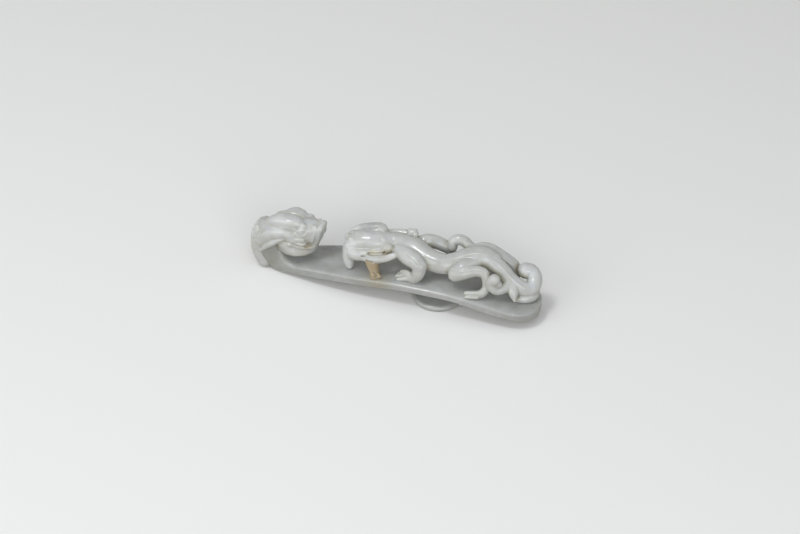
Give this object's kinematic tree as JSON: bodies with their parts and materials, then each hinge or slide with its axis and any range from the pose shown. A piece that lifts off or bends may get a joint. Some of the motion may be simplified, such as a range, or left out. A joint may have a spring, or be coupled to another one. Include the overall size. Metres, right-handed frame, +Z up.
{
  "type": "belt hook",
  "caption": "Carved jade belt hook: curved plate, dragon-head hook at one end, young dragon in openwork on top, round button on a short stem below.",
  "frame": {"origin": "centre of the button's outer flat face, on the plane that the hook lies on", "axes": "+X along the plate from the hook end to the tail end, +Y to the far side of the picture, +Z up from the button to the carving"},
  "size_m": [0.1099, 0.0217, 0.0243],
  "materials": {
    "white_jade": "polished, faintly translucent greenish white nephrite",
    "russet_jade": "polished nephrite with russet skin left in the stone"
  },
  "bodies": {
    "root": {"hook_shank": "white_jade", "button_disc": "white_jade", "button_stem": "white_jade", "dragon_skull": "white_jade", "dragon_lower_jaw": "white_jade", "dragon_right_horn": "white_jade", "dragon_left_horn": "white_jade", "dragon_right_ear": "white_jade", "dragon_left_ear": "white_jade", "dragon_mane": "white_jade", "chilong_torso": "white_jade", "chilong_head": "white_jade", "chilong_crest": "white_jade", "chilong_mane": "white_jade", "chilong_tail": "white_jade", "chilong_tail_branch": "white_jade", "chilong_tail_spur": "white_jade", "chilong_tail_rest": "white_jade", "chilong_left_foreleg": "white_jade", "chilong_right_foreleg": "white_jade", "chilong_left_hindleg": "white_jade", "chilong_right_hindleg": "white_jade", "chilong_lower_lip": "white_jade", "lingzhi_sprig": "russet_jade"}
  },
  "joints": []
}
